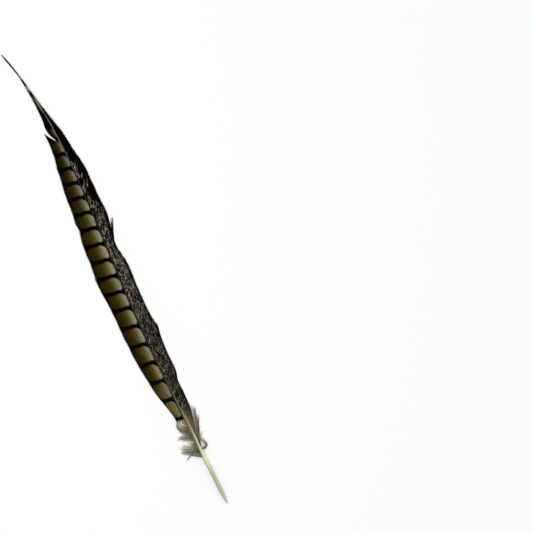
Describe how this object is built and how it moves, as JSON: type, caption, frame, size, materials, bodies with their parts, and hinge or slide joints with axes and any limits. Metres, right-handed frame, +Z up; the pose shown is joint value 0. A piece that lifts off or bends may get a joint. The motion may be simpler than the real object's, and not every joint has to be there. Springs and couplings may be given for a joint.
{
  "type": "pheasant tail feather",
  "caption": "Long barred pheasant tail feather lying upper side up: pale quill, wide barred vane, narrow mottled vane, downy base and hair-thin tip.",
  "frame": {"origin": "on the surface that the feather lies on, below the middle of its bounding box", "axes": "+Y along the feather from the quill end to the tip, +Z up, away from the surface, +X towards the narrow mottled vane"},
  "size_m": [0.0504, 0.552, 0.0054],
  "materials": {
    "barred_vane": "closed web of barbs, olive-brown patches between black bars",
    "mottled_vane": "closed web of barbs, near-black with pale wavy lines",
    "down": "loose fluffy barbs, grey-brown",
    "shaft": "smooth horn, cream at the quill and dark olive between the vanes"
  },
  "bodies": {
    "root": {"feather": "barred_vane"}
  },
  "joints": []
}
